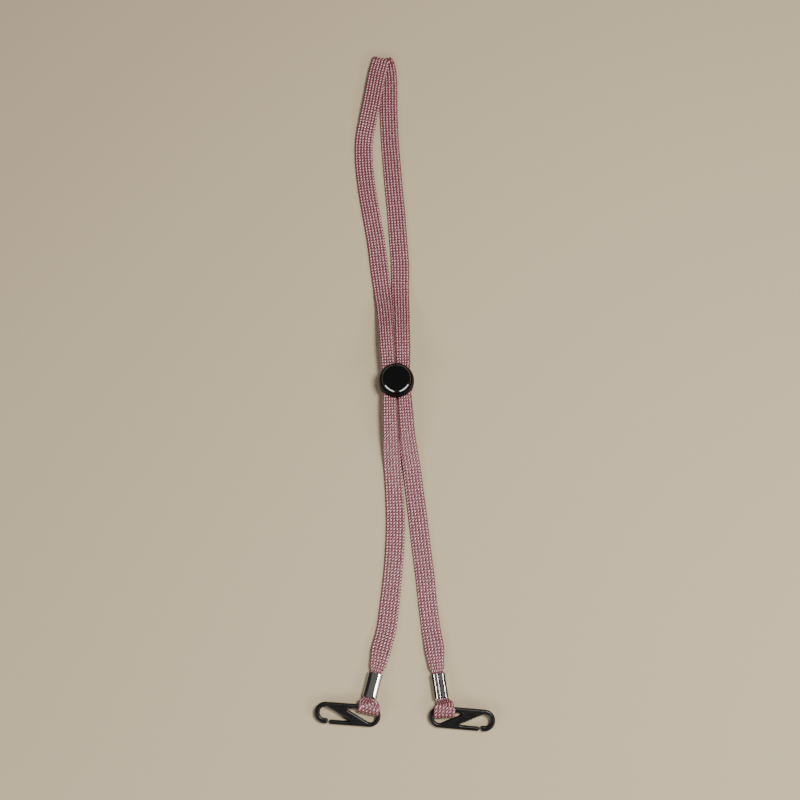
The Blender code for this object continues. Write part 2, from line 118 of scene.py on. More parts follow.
def makeCamera():
    tilt = math.radians(studio["elevation"])
    turn = math.radians(studio["heading"])
    up = Vector((math.sin(turn), math.cos(turn), 0))
    back = -up * math.cos(tilt) + Vector((0, 0, math.sin(tilt)))
    data = bpy.data.cameras.new("camera")
    data.lens = studio["lens"]
    data.sensor_width = studio["sensor"]
    data.clip_start = 0.01
    camera = addObject("camera", data)
    camera.location = Vector(studio["aim"]) + back * studio["distance"]
    side = up.cross(Vector((0, 0, 1))).normalized()
    upImage = back.cross(side)
    camera.rotation_mode = "QUATERNION"
    camera.rotation_quaternion = Matrix((side, upImage, back)).transposed().to_quaternion()
    bpy.context.scene.camera = camera


def makeFloor():
    size = studio["floorSize"]
    cells = studio["floorCells"]
    places = [size * (i / cells - 0.5) for i in range(cells + 1)]
    verts = [(x, y, 0.0) for y in places for x in places]
    corners = [j * (cells + 1) + i for j in range(cells) for i in range(cells)]
    faces = [(a, a + 1, a + cells + 2, a + cells + 1) for a in corners]
    mesh = bpy.data.meshes.new("floor")
    mesh.from_pydata(verts, [], faces)
    floor = addObject("floor", mesh)
    mat, tree, shader = newMaterial("paperFloor", studio["floorColour"], studio["floorRoughness"], 0.0,
                                    {"Specular IOR Level": studio["floorShine"]})
    mesh.materials.append(mat)


def makeWorld():
    world = bpy.data.worlds.new("studio")
    bpy.context.scene.world = world
    world.use_nodes = True
    back = world.node_tree.nodes["Background"]
    back.inputs["Color"].default_value = (*studio["skyColour"], 1)
    back.inputs["Strength"].default_value = studio["skyStrength"]


makeCamera()
makeWorld()
makeFloor()
for name, values in lights.items():
    addLight(name, **values)
print("stage: camera, light and floor")


def newGroup(name, inputs, outputs):
    group = bpy.data.node_groups.new(name, "ShaderNodeTree")
    for label, value in inputs:
        socket = group.interface.new_socket(label, in_out="INPUT", socket_type="NodeSocketFloat")
        socket.default_value = value
    for label in outputs:
        group.interface.new_socket(label, in_out="OUTPUT", socket_type="NodeSocketFloat")
    start = group.nodes.new("NodeGroupInput")
    end = group.nodes.new("NodeGroupOutput")
    return group, start, end


def addNode(tree, kind, **settings):
    node = tree.nodes.new(kind)
    for key, value in settings.items():
        if key == "inputs":
            for label, given in value.items():
                node.inputs[label].default_value = given
        else:
            setattr(node, key, value)
    return node


def mathNode(tree, operation, a, b=None, clamp=False):
    node = tree.nodes.new("ShaderNodeMath")
    node.operation = operation
    node.use_clamp = clamp
    for i, value in enumerate((a, b)):
        if value is None:
            continue
        if isinstance(value, (int, float)):
            node.inputs[i].default_value = value
        else:
            tree.links.new(value, node.inputs[i])
    return node.outputs[0]


def rampNode(tree, value, stops):
    node = tree.nodes.new("ShaderNodeValToRGB")
    ramp = node.color_ramp
    while len(ramp.elements) < len(stops):
        ramp.elements.new(0.5)
    for element, (place, colour) in zip(ramp.elements, stops):
        element.position = place
        element.color = (*colour, 1)
    tree.links.new(value, node.inputs["Fac"])
    return node.outputs["Color"]


def useGroup(tree, group, **sockets):
    node = tree.nodes.new("ShaderNodeGroup")
    node.node_tree = group
    for label, value in sockets.items():
        # a name such as grainScale stands for the socket Grain Scale
        spaced = "".join(" " + c if c.isupper() else c for c in label)
        node.inputs[spaced.title()].default_value = value
    return node


def addRelief(tree, shader, height, strength, distance):
    relief = addNode(tree, "ShaderNodeBump", inputs={"Strength": strength, "Distance": distance})
    tree.links.new(height, relief.inputs["Height"])
    tree.links.new(relief.outputs["Normal"], shader.inputs["Normal"])


surface = {
    "grainDetail": 3.0, "grainRoughness": 0.6, "waveDetail": 2.0,
    "scratchTurn": (0.3, 0.2, 0.7), "scratchStretch": (1.0, 9.0, 4.0),
    "scratchScale": 420.0, "scratchDetail": 4.0, "scratchRoughness": 0.65,
    "scratchFrom": 0.58,  # how rare the scratches are
    "scratchGain": 7.0,
    "scratchDepth": 0.35,
}


def makeSurfaceGroup():
    # fine grain, soft waves and scuffs for moulded and plated parts
    group, start, end = newGroup("surfaceDetail", [
        ("Grain Scale", 9000.0), ("Wave Scale", 350.0), ("Grain Height", 0.4), ("Scuff Amount", 0.4)],
        ["Height", "Scuffs", "Clouds"])
    links = group.links
    where = group.nodes.new("ShaderNodeTexCoord")
    grain = addNode(group, "ShaderNodeTexNoise", inputs={
        "Detail": surface["grainDetail"], "Roughness": surface["grainRoughness"]})
    links.new(where.outputs["Object"], grain.inputs["Vector"])
    links.new(start.outputs["Grain Scale"], grain.inputs["Scale"])
    wave = addNode(group, "ShaderNodeTexNoise", inputs={"Detail": surface["waveDetail"]})
    links.new(where.outputs["Object"], wave.inputs["Vector"])
    links.new(start.outputs["Wave Scale"], wave.inputs["Scale"])
    stretch = addNode(group, "ShaderNodeMapping")
    stretch.inputs["Rotation"].default_value = surface["scratchTurn"]
    stretch.inputs["Scale"].default_value = surface["scratchStretch"]
    links.new(where.outputs["Object"], stretch.inputs["Vector"])
    scratch = addNode(group, "ShaderNodeTexNoise", inputs={
        "Scale": surface["scratchScale"], "Detail": surface["scratchDetail"],
        "Roughness": surface["scratchRoughness"]})
    links.new(stretch.outputs["Vector"], scratch.inputs["Vector"])
    lines = mathNode(group, "SUBTRACT", scratch.outputs["Fac"], surface["scratchFrom"])
    lines = mathNode(group, "MULTIPLY", lines, surface["scratchGain"], clamp=True)
    lines = mathNode(group, "MULTIPLY", lines, start.outputs["Scuff Amount"])
    height = mathNode(group, "MULTIPLY", grain.outputs["Fac"], start.outputs["Grain Height"])
    height = mathNode(group, "SUBTRACT", height, mathNode(group, "MULTIPLY", lines, surface["scratchDepth"]))
    links.new(height, end.inputs["Height"])
    links.new(lines, end.inputs["Scuffs"])
    links.new(wave.outputs["Fac"], end.inputs["Clouds"])
    return group


surfaceGroup = makeSurfaceGroup()


black = {
    "hookPlastic": {"colour": (0.0045, 0.0043, 0.0042), "roughness": 0.30, "grainHeight": 0.3, "scuff": 0.4,
                    "sockets": {"Specular IOR Level": 0.35}},
    "lockGloss": {"colour": (0.003, 0.0028, 0.0028), "roughness": 0.12, "grainHeight": 0.1, "scuff": 0.25,
                  "sockets": {"Specular IOR Level": 1.0, "Coat Weight": 1.0, "Coat Roughness": 0.05,
                              "Coat IOR": 1.6}},
    "lockShell": {"colour": (0.003, 0.0028, 0.0028), "roughness": 0.42, "grainHeight": 0.3, "scuff": 0.3,
                  "sockets": {"Specular IOR Level": 0.08}},
    "buttonMatte": {"colour": (0.0028, 0.0028, 0.0028), "roughness": 0.78, "grainHeight": 1.0, "scuff": 0.1,
                    "grainScale": 5200.0, "bump": 0.35, "sockets": {"Specular IOR Level": 0.05}},
}
mouldedWear = {
    "cloudRoughness": 0.16,  # how unevenly the surface shines
    "scuffRoughness": 0.25, "wornGain": 2.6, "wornLift": 0.012,
    "reliefDistance": 0.00005,
}


def makeMoulded(name, colour, roughness, grainHeight, scuff, sockets, grainScale=9000.0, bump=0.25):
    mat, tree, shader = newMaterial(name, colour, roughness, 0.0, sockets)
    detail = useGroup(tree, surfaceGroup, grainScale=grainScale, grainHeight=grainHeight, scuffAmount=scuff)
    rough = mathNode(tree, "MULTIPLY", detail.outputs["Clouds"], mouldedWear["cloudRoughness"])
    rough = mathNode(tree, "ADD", rough, roughness - mouldedWear["cloudRoughness"] / 2)
    scuffed = mathNode(tree, "MULTIPLY", detail.outputs["Scuffs"], mouldedWear["scuffRoughness"])
    rough = mathNode(tree, "ADD", rough, scuffed, clamp=True)
    tree.links.new(rough, shader.inputs["Roughness"])
    worn = tuple(min(1.0, c * mouldedWear["wornGain"] + mouldedWear["wornLift"]) for c in colour)
    tint = rampNode(tree, detail.outputs["Scuffs"], [(0.0, colour), (1.0, worn)])
    tree.links.new(tint, shader.inputs["Base Color"])
    addRelief(tree, shader, detail.outputs["Height"], bump, mouldedWear["reliefDistance"])
    return mat


moulded = {name: makeMoulded(name, **values) for name, values in black.items()}

plating = {
    "colour": (0.33, 0.32, 0.305),
    "darkPlaces": (0.30, 0.29, 0.275),
    "lightPlaces": (0.37, 0.36, 0.34),
    "roughness": 0.03,
    "cloudRoughness": 0.05,
    "scuffRoughness": 0.09,
    "detail": {"grainScale": 3000.0, "waveScale": 260.0, "grainHeight": 0.25, "scuffAmount": 0.3},
    "relief": (0.07, 0.00003),
}


def makeNickel():
    mat, tree, shader = newMaterial("nickelPlate", plating["colour"], plating["roughness"], 1.0, {})
    detail = useGroup(tree, surfaceGroup, **plating["detail"])
    rough = mathNode(tree, "MULTIPLY", detail.outputs["Scuffs"], plating["scuffRoughness"])
    cloudy = mathNode(tree, "MULTIPLY", detail.outputs["Clouds"], plating["cloudRoughness"])
    rough = mathNode(tree, "ADD", rough, cloudy)
    rough = mathNode(tree, "ADD", rough, plating["roughness"], clamp=True)
    tree.links.new(rough, shader.inputs["Roughness"])
    shades = [(0.3, plating["darkPlaces"]), (0.7, plating["lightPlaces"])]
    tint = rampNode(tree, detail.outputs["Clouds"], shades)
    tree.links.new(tint, shader.inputs["Base Color"])
    addRelief(tree, shader, detail.outputs["Height"], *plating["relief"])
    return mat


nickel = makeNickel()

yarn = {
    "fibreScale": 260.0,
    "fibresAcross": 5.0,
    "fibreDetail": 4.0,
    "fibreRoughness": 0.7,
    "yarnShift": 37.0,  # sets each yarn's fibres apart from the next one's
    "yarnToYarn": 0.35,  # change of shade from yarn to yarn
    "alongYarn": 0.9,  # change of shade from fibre to fibre
    "shadeDrop": 0.12,
    "dullFibres": 0.2,
    "sheen": {"Sheen Weight": 0.04, "Sheen Roughness": 0.4},
    "sheenTint": (1.0, 0.86, 0.88),
    "relief": (0.35, 0.00004),
}
# dark, middle and light of the yarn, and its painted shade where it dips under another or turns away along
# its edges
cordColours = ((0.52, 0.25, 0.27), (0.82, 0.48, 0.51), (1.0, 0.72, 0.75), (0.17, 0.034, 0.047))
# the core's colours are painted shade for the inside of the braid
coreShadeColours = ((0.012, 0.002, 0.004), (0.022, 0.004, 0.006), (0.04, 0.008, 0.012), (0.012, 0.002, 0.004))


def makeFibreGroup():
    # fine fibres along each yarn, a change of shade from yarn to yarn, and a mask for the painted highlight
    # where a yarn rises over another and the painted shade where it dips under, along its edges and inside
    # the core
    group, start, end = newGroup("yarnFibres", [
        ("Fibre Scale", yarn["fibreScale"]), ("Crossing Low", 0.0), ("Crossing High", 1.0), ("Matte", 0.2)],
        ["Shade", "Painted Lit Share", "Roughness", "Fibres"])
    links = group.links
    along, across, which, rise = [
        addNode(group, "ShaderNodeAttribute", attribute_name=name).outputs["Fac"]
        for name in ("yarnAlong", "yarnAcross", "yarnShade", "yarnPaintedLight")]
    lay = addNode(group, "ShaderNodeCombineXYZ")
    lengthwise = mathNode(group, "MULTIPLY", along, start.outputs["Fibre Scale"])
    links.new(lengthwise, lay.inputs["X"])
    links.new(mathNode(group, "MULTIPLY", across, yarn["fibresAcross"]), lay.inputs["Y"])
    links.new(mathNode(group, "MULTIPLY", which, yarn["yarnShift"]), lay.inputs["Z"])
    fibres = addNode(group, "ShaderNodeTexNoise", inputs={
        "Scale": 1.0, "Detail": yarn["fibreDetail"], "Roughness": yarn["fibreRoughness"]})
    links.new(lay.outputs["Vector"], fibres.inputs["Vector"])
    shade = mathNode(group, "MULTIPLY", which, yarn["yarnToYarn"])
    fine = mathNode(group, "MULTIPLY", fibres.outputs["Fac"], yarn["alongYarn"])
    shade = mathNode(group, "ADD", shade, fine)
    links.new(mathNode(group, "SUBTRACT", shade, yarn["shadeDrop"], clamp=True), end.inputs["Shade"])
    # mask of the yarn's own colour against its painted shade
    litShareMask = addNode(group, "ShaderNodeMapRange", interpolation_type="SMOOTHSTEP")
    links.new(rise, litShareMask.inputs["Value"])
    links.new(start.outputs["Crossing Low"], litShareMask.inputs["From Min"])
    links.new(start.outputs["Crossing High"], litShareMask.inputs["From Max"])
    links.new(litShareMask.outputs["Result"], end.inputs["Painted Lit Share"])
    rough = mathNode(group, "MULTIPLY", fibres.outputs["Fac"], yarn["dullFibres"])
    links.new(mathNode(group, "ADD", rough, start.outputs["Matte"], clamp=True), end.inputs["Roughness"])
    links.new(fibres.outputs["Fac"], end.inputs["Fibres"])
    return group


fibreGroup = makeFibreGroup()


def makeYarn(name, colours, roughness, satin, crossing, sockets):
    mat, tree, shader = newMaterial(name, colours[1], roughness, satin, {**yarn["sheen"], **sockets})
    shader.inputs["Sheen Tint"].default_value = (*yarn["sheenTint"], 1)
    detail = useGroup(tree, fibreGroup, fibreScale=yarn["fibreScale"], crossingLow=crossing[0],
                      crossingHigh=crossing[1], matte=roughness - yarn["dullFibres"] / 2)
    tint = rampNode(tree, detail.outputs["Shade"], [(0.0, colours[0]), (0.5, colours[1]), (1.0, colours[2])])
    mix = addNode(tree, "ShaderNodeMix", data_type="RGBA")
    # painted shade: the dip colour is mixed in where a yarn dips under another, along its edges and all over
    # the core
    mix.inputs[6].default_value = (*colours[3], 1)
    tree.links.new(detail.outputs["Painted Lit Share"], mix.inputs[0])
    tree.links.new(tint, mix.inputs[7])
    tree.links.new(mix.outputs[2], shader.inputs["Base Color"])
    tree.links.new(detail.outputs["Roughness"], shader.inputs["Roughness"])
    addRelief(tree, shader, detail.outputs["Fibres"], *yarn["relief"])
    return mat


yarnMaterial = makeYarn("braidYarn", cordColours, 0.32, 0.1, (0.1, 0.95), {
    "Specular IOR Level": 0.8, "Coat Weight": 0.25, "Coat Roughness": 0.2, "Coat IOR": 1.7})
coreShadeMaterial = makeYarn("braidShadeCore", coreShadeColours, 0.9, 0.0, (0.0, 1.0), {"Specular IOR Level": 0.1})
print("stage: materials")


# millimetres and degrees; x, y and z as the cord lies at rest
leftEnd = {
    "crimpTop": (-18.1, -161.0), "crimpLow": (-22.0, -173.9),
    "bar": (-24.0, -178.6, 3.4), "barX": 9.6, "heading": -6.7, "tilt": 11.7, "side": 1,
    "loopWidth": 11.5, "loopThick": 1.5, "loopRadius": 2.55, "loopReach": 1.3,
    "loopShift": 1.6, "loopTurn": -13.0,
}
rightEnd = {
    "crimpTop": (15.3, -162.9), "crimpLow": (16.6, -175.9),
    "bar": (18.2, -181.3, 3.8), "barX": 9.5, "heading": -7.3, "tilt": 14.2, "side": -1,
    "loopWidth": 11.6, "loopThick": 1.5, "loopRadius": 2.9, "loopReach": 1.45,
    "loopShift": -0.1, "loopTurn": 0.5,
}
route = {
    "step": 0.2,  # between the points the finished route is kept at
    "turnFrom": 9.0,  # how near the bar a loop's width starts to turn with it
    "turnOver": 6.0,  # and how far it takes to do so
}
crimpHeight = 5.0
lowerLayer = crimpHeight / 2 - 0.8
upperLayer = crimpHeight / 2 + 0.8
crimped = (6.2, 1.3)  # width and thickness of one layer inside a crimp


def crimpPoint(end, s, z):
    top = Vector((*end["crimpTop"], 0))
    low = Vector((*end["crimpLow"], 0))
    p = (top + low) / 2 + (low - top).normalized() * s
    return (p.x, p.y, z)


def loopRows(end):
    bx, by, bz = end["bar"]
    a = math.radians(end["heading"])
    nx = -math.sin(a)
    ny = math.cos(a)
    r = end["loopRadius"]
    w = end["loopWidth"]
    t = end["loopThick"]
    rows = [(*crimpPoint(end, s, lowerLayer), *crimped) for s in (-5.6, 0.0, 6.0, 7.5)]
    mid = w * 0.8
    # round the bar: how far out, how high and how wide
    for out, lift, wide in ((1.6, -0.97, mid), (0.0, -1.0, w), (-0.707, -0.707, w), (-1.0, 0.0, w),
                            (-0.707, 0.707, w), (0.0, 1.0, w), (1.6, 0.93, mid)):
        d = out if out > 0 else out * r * end["loopReach"]
        x = bx + nx * d + end["loopShift"] * (0.4 if out > 1 else 1)
        rows.append((x, by + ny * d, bz + lift * r, wide, t))
    return rows + [(*crimpPoint(end, s, upperLayer), *crimped) for s in (7.5, 6.0, 0.0)]


lying = (0.95, 10.5, 1.8)  # height, width and thickness where the cord lies flat
# x, y, z, width and thickness, from the left crimp up, over the fold and down to the right crimp
strapRows = [
    (*crimpPoint(leftEnd, -6.0, upperLayer), *crimped), (*crimpPoint(leftEnd, -7.5, upperLayer), *crimped),
    (-16.7, -156.7, 3.1, 8.9, 1.6), (-14.7, -148.5, 2.3, 10.8, 1.8), (-11.4, -137.5, 1.3, 10.9, 1.8),
    (-9.0, -123.5, 0.95, 10.7, 1.8), (-6.8, -108.5, 0.95, 10.4, 1.8), (-5, -93.5, *lying),
    (-3.9, -77.5, *lying), (-3.9, -60.5, 0.95, 10.3, 1.8), (-4.2, -48.5, 1.6, 10, 1.8),
    (-4.5, -38.5, 3.7, 9.8, 2), (-4.5, -30.0, 6.3, 8.9, 2.2), (-4.45, -21.0, 7.2, 8.7, 2.3),
    (-4.35, -11.0, 7.2, 8.2, 2.4), (-4.35, -6.0, 7.2, 7.4, 2.4), (-4.35, 6.0, 7.2, 7.4, 2.4),
    (-4.35, 11.0, 7.2, 8.2, 2.4), (-4.45, 21.0, 7.2, 8.8, 2.3), (-4.6, 31.0, 6.2, 9.0, 2.2),
    (-4.9, 43.5, 3.4, 9.5, 2), (-5.7, 55.5, 1.4, 10.1, 1.8), (-6.9, 70.5, *lying), (-8.2, 86.5, *lying),
    (-10.1, 101.5, 0.95, 10.4, 1.8), (-12.0, 117.5, *lying), (-13.1, 133.5, 0.95, 10.6, 1.8),
    (-12.7, 147.5, 1.3, 10.5, 1.8), (-10.1, 160, 2.4, 10.5, 1.8), (-8, 168.5, 3.05, 10.5, 1.8),
    (-6.1, 177, 3.1, 10.5, 1.8), (-4.3, 185.5, 3.05, 10.5, 1.8), (-2.6, 192.5, 3.05, 10.5, 1.8),
    (-1.2, 197, 3.05, 10.5, 1.8), (-0.7, 198.9, 3.05, 10, 1.8), (-0.2, 199.7, 2.74, 10, 1.8),
    (0.2, 200.0, 2.0, 10, 1.8), (0.7, 199.7, 1.26, 10, 1.8), (1.1, 198.9, 0.95, 10, 1.8),
    (2.3, 197, *lying), (3.1, 192, *lying), (3.3, 184.5, *lying), (3, 176.5, *lying), (2.7, 168.5, *lying),
    (2.6, 160, *lying), (2.6, 148.5, *lying), (3.1, 132.5, *lying), (3.7, 116.5, *lying),
    (4.4, 101.5, *lying), (4.8, 86.5, *lying), (5.2, 70.5, *lying), (4.7, 55.5, 1.4, 10.1, 1.8),
    (4.7, 43.5, 3.4, 9.5, 2), (4.65, 31.0, 6.2, 9.0, 2.2), (4.5, 21.0, 7.2, 8.8, 2.3),
    (4.35, 11.0, 7.2, 8.2, 2.4), (4.35, 6.0, 7.2, 7.4, 2.4), (4.35, -6.0, 7.2, 7.4, 2.4),
    (4.35, -11.0, 7.2, 8.2, 2.4), (4.5, -21.0, 7.2, 8.7, 2.3), (4.75, -30.0, 6.3, 8.9, 2.2),
    (5.3, -38.5, 3.7, 9.8, 2), (6.4, -48.5, 1.6, 10.1, 1.8), (7.3, -60.5, 0.95, 10.3, 1.8),
    (8.6, -77.5, *lying), (9.7, -93.5, *lying), (10.9, -108.5, *lying), (11.7, -123.5, 0.95, 10.3, 1.8),
    (12.8, -137.5, 1.3, 10.4, 1.8), (14.1, -148.5, 2.3, 10.7, 1.8), (14.8, -157.9, 3.1, 8.7, 1.6),
    (*crimpPoint(rightEnd, -7.5, upperLayer), *crimped), (*crimpPoint(rightEnd, -6.0, upperLayer), *crimped)]
routeRows = loopRows(leftEnd) + strapRows + list(reversed(loopRows(rightEnd)))


def catmull(p0, p1, p2, p3, u):
    # the smooth curve through p1 and p2, at u of the way
    t1 = max((p1 - p0).length, 1e-6) ** 0.5
    t2 = t1 + max((p2 - p1).length, 1e-6) ** 0.5
    t3 = t2 + max((p3 - p2).length, 1e-6) ** 0.5
    t = t1 + (t2 - t1) * u
    a1 = p0 * ((t1 - t) / t1) + p1 * (t / t1)
    a2 = p1 * ((t2 - t) / (t2 - t1)) + p2 * ((t - t1) / (t2 - t1))
    a3 = p2 * ((t3 - t) / (t3 - t2)) + p3 * ((t - t2) / (t3 - t2))
    b1 = a1 * ((t2 - t) / t2) + a2 * (t / t2)
    b2 = a2 * ((t3 - t) / (t3 - t1)) + a3 * ((t - t1) / (t3 - t1))
    return b1 * ((t2 - t) / (t2 - t1)) + b2 * ((t - t1) / (t2 - t1))


def readRoute(rows, parts=24):
    # the route at even small steps: distance, centre, width and thickness
    pts = [Vector(row[:3]) for row in rows]
    ends = [pts[0] * 2 - pts[1]] + pts + [pts[-1] * 2 - pts[-2]]
    centre = []
    size = []
    for i in range(len(pts) - 1):
        for k in range(parts):
            u = k / parts
            ease = u * u * (3 - 2 * u)
            size.append([rows[i][j] + (rows[i + 1][j] - rows[i][j]) * ease for j in (3, 4)])
            centre.append(catmull(ends[i], ends[i + 1], ends[i + 2], ends[i + 3], u)[:])
    centre.append(pts[-1][:])
    size.append(list(rows[-1][3:]))
    centre = np.array(centre)
    size = np.array(size)
    dist = np.concatenate([[0], np.cumsum(np.linalg.norm(np.diff(centre, axis=0), axis=1))])
    even = np.linspace(0, dist[-1], int(dist[-1] / route["step"]))
    centre = np.stack([np.interp(even, dist, centre[:, k]) for k in range(3)], 1)
    size = np.stack([np.interp(even, dist, size[:, k]) for k in range(2)], 1)
    return even, centre, size


def unit(v):
    return v / np.maximum(np.linalg.norm(v, axis=-1, keepdims=True), 1e-12)


routeDist, routeCentre, routeSize = readRoute(routeRows)
routeAlong = unit(np.gradient(routeCentre, axis=0))
routeSide = unit(np.stack([1 - routeAlong[:, 0] ** 2, -routeAlong[:, 0] * routeAlong[:, 1],
                           np.zeros(len(routeAlong))], 1))
# each loop's width lies askew on its bar, easing away on both sides of it
for end in (leftEnd, rightEnd):
    gap = np.linalg.norm(routeCentre - np.array(end["bar"]) - (end["loopShift"], 0, 0), axis=1)
    near = np.clip((route["turnFrom"] - gap) / route["turnOver"], 0, 1)
    turn = np.radians(end["loopTurn"]) * near * near * (3 - 2 * near)
    x = routeSide[:, 0] * np.cos(turn) - routeSide[:, 1] * np.sin(turn)
    y = routeSide[:, 0] * np.sin(turn) + routeSide[:, 1] * np.cos(turn)
    routeSide = np.stack([x, y, routeSide[:, 2]], 1)
routeUp = unit(np.cross(routeSide, routeAlong))
routeLength = routeDist[-1]
print("cord length", round(routeLength, 1), "mm")


def atDistance(s, values):
    # a route value at each distance s; the centre line runs straight on past both ends
    out = np.stack([np.interp(s, routeDist, values[:, k]) for k in range(values.shape[1])], 1)
    if values is routeCentre:
        before = routeAlong[0] * np.minimum(s, 0)[:, None]
        after = routeAlong[-1] * np.maximum(s - routeLength, 0)[:, None]
        out += before + after
    return out


braid = {
    "pairs": 24,  # yarns each way round the tube
    "turnLength": 40.8,  # along the cord, for one yarn to go once round
    "yarnWidth": 0.62,  # at the cord's full width
    "yarnThick": 0.36,
    "lift": 0.17,  # how far a yarn rises and dips as it passes over and under
    "step": 0.306,
    "fullPerimeter": 20.0,
    "fullness": 0.22,  # how much the flat faces swell in the middle
    "unevenness": 0.22,  # how much fuller one side of the tube is than the other, here and there
    "otherWaySheen": 0.3,  # how much of the painted highlight and crossing shade the other way round gets
    "edgePaintedShade": 0.85,  # how much painted shade darkens a yarn along its edges
    "coreGap": 0.06,
    "seed": 4,
}


def flatSection(turn, width, thick, lean=0.0):
    # point and outward normal on a flat rounded tube; turn runs 0 to 1 round it by length
    b = thick / 2
    a = np.maximum(width / 2 - b, 0.01)
    perimeter = 4 * a + 2 * math.pi * b
    d = (turn % 1.0) * perimeter
    # top face, right bend, lower face and left bend, one after the other
    d1 = d - 2 * a
    d2 = d1 - math.pi * b
    d3 = d2 - 2 * a
    top = d < 2 * a
    zones = [top, d1 < math.pi * b, d2 < 2 * a]
    right = math.pi / 2 - d1 / b
    left = -math.pi / 2 - d3 / b
    x = np.select(zones, [-a + d, a + b * np.cos(right), a - d2], -a + b * np.cos(left))
    z = np.select(zones, [b, b * np.sin(right), -b], b * np.sin(left))
    nx = np.select(zones, [0.0, np.cos(right), 0.0], np.cos(left))
    nz = np.select(zones, [1.0, np.sin(right), -1.0], np.sin(left))
    # the faces swell a little towards the middle, and the upper one leans
    place = x / (a + b)
    full = braid["fullness"]
    swell = 1 - full * place ** 2 + np.where(z > 0, lean * place * (1 - place ** 2), 0)
    tip = np.where(top, (2 * full * place - lean) * b / (a + b), 0)
    return x, z * swell, nx + tip, nz, perimeter


def tubeFaces(rings, sides, base):
    # quads of a tube of rings, and its two ends as single faces
    i = np.arange(rings - 1)[:, None] * sides
    k = np.arange(sides)[None, :]
    nxt = (k + 1) % sides
    quads = np.stack([i + k, i + nxt, i + sides + nxt, i + sides + k], -1).reshape(-1, 4) + base
    caps = [np.arange(sides)[::-1] + base, np.arange(sides) + (rings - 1) * sides + base]
    return quads, caps


def buildMesh(name, verts, quads, caps, attributes, materials):
    loops = [quads.ravel()] + list(caps)
    sizes = np.concatenate([np.full(len(quads), 4), [len(c) for c in caps]]).astype(np.int32)
    mesh = bpy.data.meshes.new(name)
    mesh.vertices.add(len(verts))
    mesh.vertices.foreach_set("co", (verts * mm).astype(np.float32).ravel())
    flat = np.concatenate(loops).astype(np.int32)
    mesh.loops.add(len(flat))
    mesh.loops.foreach_set("vertex_index", flat)
    mesh.polygons.add(len(sizes))
    starts = np.concatenate([[0], np.cumsum(sizes)[:-1]]).astype(np.int32)
    mesh.polygons.foreach_set("loop_start", starts)
    mesh.polygons.foreach_set("loop_total", sizes)
    mesh.polygons.foreach_set("use_smooth", np.ones(len(sizes), bool))
    for mat in materials:
        mesh.materials.append(mat)
    mesh.update(calc_edges=True)
    for label, values in attributes.items():
        layer = mesh.attributes.new(label, "FLOAT", "POINT")
        layer.data.foreach_set("value", values.astype(np.float32))
    mesh.validate()
    return addObject(name, mesh)


rng = np.random.default_rng(braid["seed"])
yarnShade = rng.uniform(0, 1, (2, braid["pairs"]))
yarnDrift = rng.uniform(-0.06, 0.06, (2, braid["pairs"]))


